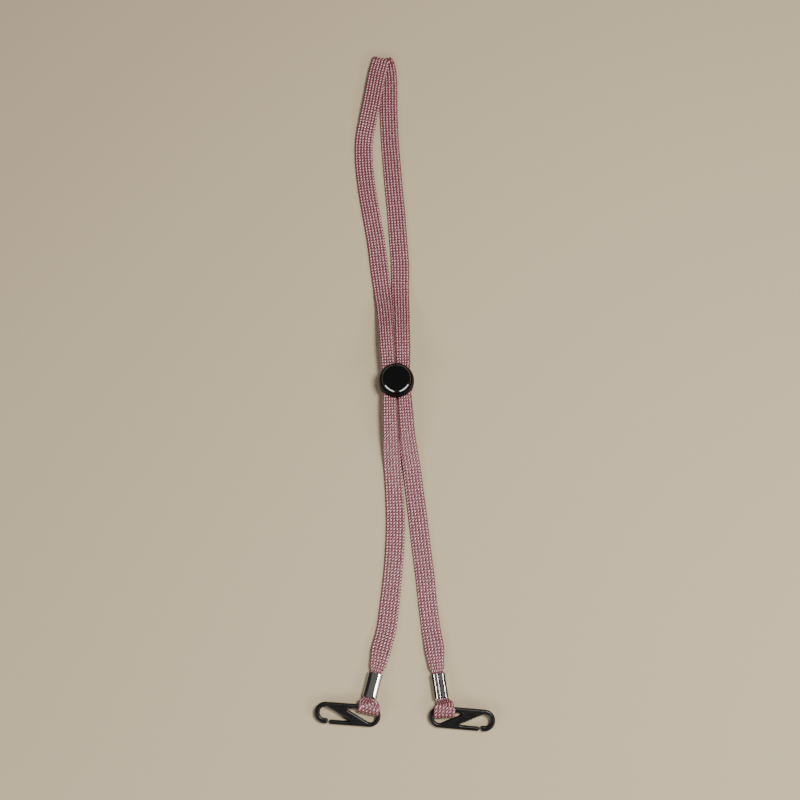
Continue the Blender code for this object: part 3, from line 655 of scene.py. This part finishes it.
def braidStretch(name, s0, s1):
    # all the yarns of the braid between two distances along the cord
    count = int(round((s1 - s0) / braid["step"])) + 1
    gap = (s1 - s0) / (count - 1)
    # worked out a little past both ends and trimmed, so that neighbouring stretches meet exactly
    margin = 3
    s = s0 + gap * np.arange(-margin, count + margin)
    centre = atDistance(s, routeCentre)
    side = unit(atDistance(s, routeSide))
    up = unit(atDistance(s, routeUp))
    size = atDistance(s, routeSize)
    wall = braid["lift"] + braid["yarnThick"] / 2
    width = size[:, 0] - 2 * wall
    thick = size[:, 1] - 2 * wall
    lean = np.sin(s / 9.1 + 1.3) + np.sin(s / 23.7) + 0.6 * np.sin(s / 5.3 + 0.4)
    lean = braid["unevenness"] * lean / 2.6
    angles = np.radians([90, 35, -20, -90, 200, 145])
    sides = len(angles)
    verts, quadsAll, capsAll = [], [], []
    along, across, shade, rise = [], [], [], []
    base = 0
    pairs = braid["pairs"]
    for way in (0, 1):
        for n in range(pairs):
            sign = 1 if way == 0 else -1
            wander = 0.0016 * np.sin(s / 6.1 + 5 * n) + 0.0012 * np.sin(s / 2.7 + 3 * n + way)
            turn = n / pairs + sign * s / braid["turnLength"] + wander
            x, z, nx, nz, perimeter = flatSection(turn, width, thick, lean)
            column = 2 * pairs * (turn - wander)
            over = np.cos(2 * math.pi * (column - 0.5) / 4) * (1 if way == 0 else -1)
            # the two ways round are twisted oppositely; the lighter look of one way is a painted highlight,
            # and the other way gets only a weak one
            paintedLightTone = over if way == 0 else braid["otherWaySheen"] * over
            over = np.sign(over) * np.abs(over) ** 0.5
            lift = braid["lift"] * over + 0.02 * np.sin(s * 0.9 + n * 2.1)
            point = centre + side * (x + nx * lift)[:, None] + up * (z + nz * lift)[:, None]
            normal = unit(side * nx[:, None] + up * nz[:, None])
            tangent = unit(np.gradient(point, axis=0))
            normal = unit(normal - tangent * np.sum(normal * tangent, 1, keepdims=True))
            kept = (point, normal, tangent, over, paintedLightTone, perimeter)
            point, normal, tangent, over, paintedLightTone, perimeter = (v[margin:-margin] for v in kept)
            cross = np.cross(tangent, normal)
            scale = (perimeter / braid["fullPerimeter"])[:, None]
            swell = (1 + 0.10 * over + yarnDrift[way, n])[:, None]
            half = braid["yarnWidth"] / 2 * np.minimum(scale * 1.06, 1.08) * swell
            flat = braid["yarnThick"] / 2
            rings = [point + cross * half * math.cos(a) + normal * flat * math.sin(a) for a in angles]
            verts.append(np.stack(rings, 1).reshape(-1, 3))
            quads, caps = tubeFaces(count, sides, base)
            quadsAll.append(quads)
            if s0 <= 0:
                capsAll.append(caps[0])
            if s1 >= routeLength:
                capsAll.append(caps[1])
            base += count * sides
            length = np.concatenate([[0], np.cumsum(np.linalg.norm(np.diff(point, axis=0), axis=1))])
            along.append(np.repeat(length * mm, sides))
            across.append(np.tile(np.cos(angles), count))
            shade.append(np.full(count * sides, yarnShade[way, n]))
            # painted highlight on the crests of the lighter way, painted shade where a yarn dips under
            # another and along its edges
            rise.append((paintedLightTone[:, None] - braid["edgePaintedShade"] * np.cos(angles) ** 2).reshape(-1))
    quadsAll = np.concatenate(quadsAll)
    attributes = {"yarnAlong": np.concatenate(along), "yarnAcross": np.concatenate(across),
                  "yarnShade": np.concatenate(shade), "yarnPaintedLight": np.concatenate(rise)}
    return buildMesh(name, np.concatenate(verts), quadsAll, capsAll, attributes, [yarnMaterial])


def braidShadeCore():
    # a near-black tube inside the braid as painted shade for its hollow, whole from one cut end to the other
    count = int(routeLength / 1.1)
    s = np.linspace(0, routeLength, count)
    centre = atDistance(s, routeCentre)
    side = unit(atDistance(s, routeSide))
    up = unit(atDistance(s, routeUp))
    size = atDistance(s, routeSize)
    inset = braid["lift"] + braid["yarnThick"] / 2 + braid["coreGap"]
    sides = 24
    rings = []
    for k in range(sides):
        x, z, nx, nz, perimeter = flatSection(np.full(count, k / sides), size[:, 0] - 2 * inset,
                                              np.maximum(size[:, 1] - 2 * inset, 0.1))
        rings.append(centre + side * x[:, None] + up * z[:, None])
    verts = np.stack(rings, 1).reshape(-1, 3)
    quads, caps = tubeFaces(count, sides, 0)
    attributes = {"yarnAlong": np.repeat(s * mm, sides), "yarnAcross": np.zeros(count * sides),
                  "yarnShade": np.full(count * sides, 0.5), "yarnPaintedLight": np.zeros(count * sides)}
    return buildMesh("cordShadeCore", verts, quads[:, ::-1], [c[::-1] for c in caps], attributes, [coreShadeMaterial])


foldAt = routeDist[int(np.argmax(routeCentre[:, 1]))]
cuts = list(np.linspace(0, foldAt, 5)) + list(np.linspace(foldAt, routeLength, 5)[1:])
stretches = [
    ("braidLeftEnd", ["cord_loop_left"]), ("braidLeftLower", ["cord_lower_left"]),
    ("braidLeftUpper", ["cord_pass_left", "cord_upper_left"]), ("braidLeftTop", ["cord_fold"]),
    ("braidRightTop", ["cord_upper_right"]), ("braidRightUpper", ["cord_pass_right"]),
    ("braidRightLower", ["cord_lower_right"]), ("braidRightEnd", ["cord_loop_right"])]
for i, (name, nodes) in enumerate(stretches):
    obj = braidStretch(name, cuts[i], cuts[i + 1])
    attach(obj, "strap")
    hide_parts(*nodes)
cordShadeCore = braidShadeCore()
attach(cordShadeCore, "strap")
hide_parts(*[node for name, nodes in stretches for node in nodes])
cordPath = atDistance(np.linspace(0, routeLength, 420), routeCentre) * mm
tuple(float(v) for v in cordPath[0])
[tuple(float(v) for v in p) for p in cordPath]
print("stage: cord")


def roundOutline(points, arcStep=6.0, edgeStep=0.8):
    # closed outline from x, y, corner radius rows, with short edges throughout
    out = []
    n = len(points)
    for i, (x, y, r) in enumerate(points):
        p = Vector((x, y))
        if r < 1e-6:
            out.append(p)
            continue
        a = (Vector(points[i - 1][:2]) - p).normalized()
        b = (Vector(points[(i + 1) % n][:2]) - p).normalized()
        half = math.acos(max(-1.0, min(1.0, a.dot(b)))) / 2
        start = p + a * (r / math.tan(half))
        end = p + b * (r / math.tan(half))
        centre = p + (a + b).normalized() * (r / math.sin(half))
        a0 = math.atan2(start.y - centre.y, start.x - centre.x)
        a1 = math.atan2(end.y - centre.y, end.x - centre.x)
        turn = (a1 - a0 + math.pi) % (2 * math.pi) - math.pi
        count = max(3, math.ceil(abs(turn) / math.radians(arcStep)))
        for k in range(count + 1):
            ang = a0 + turn * k / count
            out.append(Vector((centre.x + r * math.cos(ang), centre.y + r * math.sin(ang))))
    fine = []
    for i, p in enumerate(out):
        q = out[(i + 1) % len(out)]
        parts = max(1, round((q - p).length / edgeStep))
        for k in range(parts):
            fine.append(p.lerp(q, k / parts))
    return fine


def insetOutline(outline, d, flushX):
    # moved to its own left; an edge that lies on flushX stays there
    out = []
    n = len(outline)
    for i, p in enumerate(outline):
        before = outline[i - 1]
        after = outline[(i + 1) % n]
        a = (p - before).normalized()
        b = (after - p).normalized()
        na = Vector((-a.y, a.x))
        nb = Vector((-b.y, b.x))
        flatA = abs(p.x - flushX) < 1e-4 and abs(before.x - flushX) < 1e-4
        flatB = abs(p.x - flushX) < 1e-4 and abs(after.x - flushX) < 1e-4
        if flatA and flatB:
            out.append(p.copy())
        elif flatA or flatB:
            free = nb if flatA else na
            rise = d / free.y if abs(free.y) > 0.2 else 0
            out.append(Vector((p.x, p.y + rise)))
        else:
            m = (na + nb).normalized()
            out.append(p + m * (d / max(0.35, m.dot(na))))
    return out


def roundedPlate(outlines, thick, edge, flushX, steps=8):
    # a plate with rounded edges; the first outline is its rim and any others are holes
    verts, faces, firsts, lasts = [], [], [], []
    profile = []
    for k in range(steps + 1):
        a = math.pi / 2 * k / steps
        profile.append((thick / 2 - edge + edge * math.cos(a), edge * (1 - math.sin(a))))
    profile += [(-z, d) for z, d in reversed(profile)]
    for outline in outlines:
        n = len(outline)
        base = len(verts)
        for z, d in profile:
            for p in insetOutline(outline, d, flushX):
                verts.append((p.x, p.y, z))
        for i in range(len(profile) - 1):
            for k in range(n):
                a = base + i * n + k
                b = base + i * n + (k + 1) % n
                faces.append((a, b, b + n, a + n))
        firsts.append([base + k for k in range(n)])
        lasts.append([base + (len(profile) - 1) * n + k for k in range(n)])
    for group in (firsts, lasts):
        flat = [i for ids in group for i in ids]
        loops = [[Vector((verts[i][0], verts[i][1], 0.0)) for i in ids] for ids in group]
        for tri in tessellate_polygon(loops):
            faces.append(tuple(flat[i] for i in tri))
    return verts, faces


def makeObject(name, verts, faces, mats, matrix=None, sharp=38.0, pick=None):
    mesh = bpy.data.meshes.new(name)
    mesh.from_pydata([tuple(c * mm for c in v) for v in verts], [], faces)
    for mat in mats:
        mesh.materials.append(mat)
    if matrix is not None:
        mesh.transform(matrix)
    scratch = bmesh.new()
    scratch.from_mesh(mesh)
    bmesh.ops.recalc_face_normals(scratch, faces=scratch.faces)
    if pick:
        for face in scratch.faces:
            face.material_index = pick(face)
    scratch.to_mesh(mesh)
    scratch.free()
    mesh.polygons.foreach_set("use_smooth", [True] * len(mesh.polygons))
    mesh.set_sharp_from_angle(angle=math.radians(sharp))
    return addObject(name, mesh)


hook = {
    "half": 17.75,  # half its length
    "radius": 5.8,  # half its width, and the bend of each end
    "thick": 2.9,
    "edge": 0.95,
    "stroke": 2.4,  # width of the rim
    "noseStroke": 2.9,
    "webSlope": 0.503,
    "webRise": 2.41,
    "rootX": 1.6,  # where the springy arm leaves the frame
    "bendLength": 3.2,  # how much of the arm bends
    "pivot": (1.45, -4.65),
}


def hookShapes():
    edgeX = hook["half"]
    r = hook["radius"]
    slope = hook["webSlope"]
    rise = hook["webRise"]
    nose = hook["noseStroke"]
    root = hook["rootX"]
    inner = r - hook["stroke"]
    rootTop = -rise - slope * root
    frameLine = roundOutline([
        (root, -r, 0), (edgeX, -r, 5.75), (edgeX, r, 5.75), (-edgeX, r, 5.75), (-edgeX, -r, 5.75),
        (-10.6, -r, 1.0), (-9.9, -nose, 1.0), (-edgeX + nose, -nose, 2.8), (-edgeX + nose, 3.3, 2.8),
        ((-rise - 3.3) / slope, 3.3, 1.0), (root, rootTop, 0)])
    eye = roundOutline([
        ((rise - inner) / slope, inner, 0.7), (15.2, inner, 1.2), (15.2, -inner, 3.0),
        ((rise + inner) / slope, -inner, 0.5)])
    gateLine = roundOutline([
        (-9.95, -r, 1.0), (root, -r, 0), (root, rootTop, 0), (root - 1.6, -3.5, 0.8), (-9.3, -3.5, 1.0)])
    return frameLine, eye, gateLine


def buildHook(end, tag):
    side = end["side"]
    barY = hook["radius"] - hook["stroke"] / 2
    base = Matrix.Translation(Vector(end["bar"]) * mm)
    base = base @ Matrix.Rotation(math.radians(end["heading"]), 4, "Z")
    base = base @ Matrix.Rotation(math.radians(end["tilt"]), 4, "X")

    def place(outline):
        moved = [Vector(((p.x - end["barX"]) * side, p.y - barY)) for p in outline]
        return moved if side > 0 else list(reversed(moved))

    flush = (hook["rootX"] - end["barX"]) * side
    frameLine, eye, gateLine = hookShapes()
    verts, faces = roundedPlate([place(frameLine), place(eye)], hook["thick"], hook["edge"], flush)
    body = makeObject("hookFrame" + tag.title(), verts, faces, [moulded["hookPlastic"]], base)
    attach(body, "hook_" + tag)
    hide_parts("hook_frame_" + tag)
    verts, faces = roundedPlate([place(gateLine)], hook["thick"], hook["edge"], flush)
    gate = makeObject("hookGate" + tag.title(), verts, faces, [moulded["hookPlastic"]], base)
    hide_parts("hook_gate_" + tag)
    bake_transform(gate)


for end, tag in ((leftEnd, "left"), (rightEnd, "right")):
    buildHook(end, tag)
print("stage: hooks")


crimp = {
    "width": 7.8,
    "height": crimpHeight,
    "length": 13.4,
    "wall": 0.5,
    "corner": 1.4,
    "seamCorner": 1.0,
    "seamDrop": 0.26,  # how much lower the seam side's outer edges lie
    "lip": 0.49,  # beyond this share of the length the sheet's edge is rounded
    "fullMiddle": 0.15,  # how full the plain face is in the middle
    "fullFade": 0.2,
}


def crimpLine(lobes, fullness):
    # the middle line of the folded sheet, seam at +z, from the seam round one side to the base
    hw = (crimp["width"] - crimp["wall"]) / 2
    hh = (crimp["height"] - crimp["wall"]) / 2
    r = crimp["corner"]
    if lobes:
        half = [(0.27, hh - 1.1), (0.29, hh - 0.85), (0.38, hh - 0.36)]
        # a sharp low rib stands on each side of the seam
        ribs = ((0.40, -0.24), (0.42, -0.15), (0.45, -0.112), (0.48, -0.105), (0.52, -0.104), (2.12, -0.14),
                (2.16, -0.138), (2.18, -0.13), (2.29, -0.07), (2.31, -0.066), (2.44, -0.066), (2.46, -0.07),
                (2.62, -0.143))
        half += [(x, hh + z) for x, z in ribs]
        r = crimp["seamCorner"]
        first = 3
    else:
        half = [(0.22, hh - 0.45), (0.4, hh - 0.2), (0.7, hh - 0.08), (1.3, hh), (hw - r, hh)]
        first = 1
    top = hh - crimp["seamDrop"] if lobes else hh
    for k in range(first, 11):
        a = math.pi / 2 * (1 - k / 10)
        half.append((hw - r + r * math.cos(a), top - r + r * math.sin(a)))
    r = crimp["corner"]
    for k in range(0, 11):
        a = -math.pi / 2 * k / 10
        half.append((hw - r + r * math.cos(a), -hh + r + r * math.sin(a)))
    # the face opposite the seam, full in the middle by the amount given
    for k in range(1, 13):
        u = 1 - k / 12
        half.append(((hw - r) * u, -hh - fullness * (1 - u ** 6)))
    line = [Vector(p) for p in half]
    return line + [Vector((-p.x, p.y)) for p in reversed(line[:-1])]


def crimpSection(lobes, wall, fullness):
    line = crimpLine(lobes, fullness)
    outer, inner = [], []
    for i, p in enumerate(line):
        d = (line[min(i + 1, len(line) - 1)] - line[max(i - 1, 0)]).normalized()
        n = Vector((d.y, -d.x)) * (wall / 2)
        outer.append(p - n)
        inner.append(p + n)
    return outer + list(reversed(inner))


def buildCrimp(end, tag, seamUp):
    # share of the length and share of the full size, the same both ways from the middle
    half = [(0.5, 0.86), (0.496, 0.95), (0.485, 1.0), (0.42, 1.0), (0.3, 0.995), (0.15, 0.985)]
    rows = [(-s, grow) for s, grow in half] + [(0.0, 0.98)] + list(reversed(half))
    verts, faces = [], []
    n = 0
    for s, grow in rows:
        # the sheet's own edge is rounded, and the middle is pressed in slightly
        wall = crimp["wall"] * (grow if abs(s) > crimp["lip"] else 1)
        press = grow if abs(s) <= crimp["lip"] else 1
        fullness = 0 if seamUp else crimp["fullMiddle"] - crimp["fullFade"] * s * s
        section = crimpSection(seamUp, wall, fullness)
        n = len(section)
        for p in section:
            verts.append((p.x * press, s * crimp["length"], p.y * press))
    for i in range(len(rows) - 1):
        for k in range(n):
            a = i * n + k
            b = i * n + (k + 1) % n
            faces.append((a, b, b + n, a + n))
    flat = [Vector((verts[k][0], verts[k][2], 0)) for k in range(n)]
    tris = tessellate_polygon([flat])
    faces += [tuple(t) for t in tris]
    faces += [tuple(i + (len(rows) - 1) * n for i in t) for t in tris]
    top = Vector((*end["crimpTop"], 0))
    low = Vector((*end["crimpLow"], 0))
    along = (top - low).normalized()
    mid = (top + low) / 2
    matrix = Matrix.Translation(Vector((mid.x, mid.y, crimp["height"] / 2)) * mm)
    matrix = matrix @ Matrix.Rotation(math.atan2(-along.x, along.y), 4, "Z")
    if not seamUp:
        matrix = matrix @ Matrix.Rotation(math.pi, 4, "Y")
    obj = makeObject("crimp" + tag.title(), verts, faces, [nickel], matrix, sharp=50)
    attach(obj, "strap")
    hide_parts("crimp_" + tag)


buildCrimp(leftEnd, "left", False)
buildCrimp(rightEnd, "right", True)
print("stage: crimps")


lock = {
    "segments": 160, "floor": 1.2, "bore": 8.55,
    "windowX": 8.3,  # half the width of the windows the strands run through
    "windowLow": 5.5, "windowTop": 8.8,
    "buttonRadius": 8.2, "buttonTop": 14.0, "footLow": 3.8,
    "slotLow": 5.65, "slotTop": 10.9,
    "webHalf": 0.35,  # half the wall between the button's two slots
    "pocketRadius": 3.7, "pocketTop": 5.0,
    "springRadius": 2.95, "springWire": 0.5, "springTurns": 3.0,
    "springGap": 0.3,  # between the spring and what it rests on
}


def revolve(profile, segments):
    # radius and height rows turned about z; the first and last lie on the axis
    verts = [(0.0, 0.0, profile[0][1])]
    inner = profile[1:-1]
    for r, z in inner:
        for k in range(segments):
            a = 2 * math.pi * k / segments
            verts.append((r * math.cos(a), r * math.sin(a), z))
    verts.append((0.0, 0.0, profile[-1][1]))
    last = len(verts) - 1
    faces = []
    for k in range(segments):
        nxt = (k + 1) % segments
        faces.append((0, 1 + nxt, 1 + k))
        for i in range(len(inner) - 1):
            a = 1 + i * segments
            faces.append((a + k, a + nxt, a + segments + nxt, a + segments + k))
        a = 1 + (len(inner) - 1) * segments
        faces.append((a + k, a + nxt, last))
    return verts, faces


def smoothProfile(rows, parts=4):
    pts = [Vector((r, z, 0)) for r, z in rows]
    ends = [pts[0]] + pts + [pts[-1]]
    out = []
    for i in range(len(pts) - 1):
        for k in range(parts):
            p = catmull(ends[i], ends[i + 1], ends[i + 2], ends[i + 3], k / parts)
            out.append((p.x, p.y))
    out.append(rows[-1])
    return out


def roundedBox(halfX, halfY, low, top, radius):
    # a slab along y with rounded long corners
    corners = [(-halfX, low, radius), (halfX, low, radius), (halfX, top, radius), (-halfX, top, radius)]
    line = roundOutline(corners, arcStep=12, edgeStep=4)
    n = len(line)
    verts = [(p.x, -halfY, p.y) for p in line] + [(p.x, halfY, p.y) for p in line]
    faces = [tuple(range(n)), tuple(reversed(range(n, 2 * n)))]
    faces += [(k, k + n, (k + 1) % n + n, (k + 1) % n) for k in range(n)]
    return verts, faces


def carve(obj, cutters):
    # cuts the shapes out of obj and keeps the result as plain mesh
    made = []
    for verts, faces in cutters:
        cutter = makeObject("cutter", verts, faces, [])
        mod = obj.modifiers.new("cut", "BOOLEAN")
        mod.operation = "DIFFERENCE"
        mod.solver = "EXACT"
        mod.object = cutter
        made.append(cutter)
    bpy.context.view_layer.update()
    cutMesh = bpy.data.meshes.new_from_object(obj.evaluated_get(bpy.context.evaluated_depsgraph_get()))
    obj.modifiers.clear()
    obj.data = cutMesh
    for cutter in made:
        bpy.data.objects.remove(cutter)
    cutMesh.polygons.foreach_set("use_smooth", [True] * len(cutMesh.polygons))
    cutMesh.set_sharp_from_angle(angle=math.radians(38))


def buildLockBody():
    wall = smoothProfile([(8.9, 0.6), (9.4, 1.6), (9.75, 3.2), (9.9, 5.2), (9.9, 8.6), (9.75, 9.9),
                          (9.45, 10.9), (9.28, 11.5)])
    profile = [(0, 0), (4, 0), (7.6, 0), (8.3, 0.15)] + wall
    profile += [(9.22, 11.85), (9.12, 12.08), (8.98, 12.18), (8.8, 12.2), (8.66, 12.15), (8.57, 12.02),
                (lock["bore"], 11.8), (lock["bore"], lock["floor"]), (4, lock["floor"]), (0, lock["floor"])]
    verts, faces = revolve(profile, lock["segments"])
    obj = makeObject("lockBarrel", verts, faces, [moulded["lockShell"]])
    carve(obj, [roundedBox(lock["windowX"], 12, lock["windowLow"], lock["windowTop"], 1.2)])
    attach(obj, "lock")
    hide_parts("lock_body")


def buildLockButton():
    top = lock["buttonTop"]
    r = lock["buttonRadius"]
    # how far in from the rim and down from the top
    edge = [(0, 1.45), (0.01, 1.2), (0.05, 1.02), (0.13, 0.87), (0.24, 0.755), (0.42, 0.605), (0.62, 0.45),
            (0.82, 0.305), (1.0, 0.18), (1.12, 0.105), (1.24, 0.05), (1.38, 0.015), (1.55, 0)]
    foot = lock["footLow"]
    profile = [(0, foot), (4, foot), (r - 0.2, foot), (r, foot + 0.2)]
    profile += [(r - inward, top - down) for inward, down in edge]
    profile += [(5.0, top - 0.02), (3.0, top - 0.03), (0, top - 0.03)]
    verts, faces = revolve(profile, lock["segments"])

    def pick(face):
        c = face.calc_center_median() / mm
        return 1 if c.z > top - 0.09 and math.hypot(c.x, c.y) < r - 1.14 else 0

    obj = makeObject("lockButton", verts, faces, [moulded["lockGloss"], moulded["buttonMatte"]], pick=pick)
    web = lock["webHalf"]
    cutters = []
    for sign in (1, -1):
        verts, faces = roundedBox(5, 10, lock["slotLow"], lock["slotTop"], 0.6)
        cutters.append(([(x + sign * (5 + web), y, z) for x, y, z in verts], faces))
    pocket = lock["pocketRadius"]
    cutters.append(revolve([(0, foot - 1), (pocket, foot - 1), (pocket, lock["pocketTop"]),
                            (0, lock["pocketTop"])], 48))
    carve(obj, cutters)
    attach(obj, "button")
    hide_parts("lock_button")


def buildSpring():
    wire = lock["springWire"]
    low = lock["floor"] + lock["springGap"] + wire / 2
    high = lock["pocketTop"] - lock["springGap"] - wire / 2
    turns = lock["springTurns"]
    count = 150
    sides = 12
    u = np.linspace(0, 1, count)
    a = 2 * math.pi * turns * u
    z = low + (high - low) * np.clip((u - 0.12) / 0.76, 0, 1)
    rings = []
    for k in range(sides):
        b = 2 * math.pi * k / sides
        r = lock["springRadius"] + wire / 2 * math.cos(b)
        rings.append(np.stack([r * np.cos(a), r * np.sin(a), z + wire / 2 * math.sin(b)], 1))
    verts = np.stack(rings, 1).reshape(-1, 3)
    quads, caps = tubeFaces(count, sides, 0)
    faces = [tuple(q) for q in quads] + [tuple(c) for c in caps]
    obj = makeObject("lockSpring", [tuple(v) for v in verts], faces, [nickel])
    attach(obj, "lock")
    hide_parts("lock_spring")
    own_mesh(obj)


buildLockBody()
buildLockButton()
buildSpring()
print("stage: cord lock")
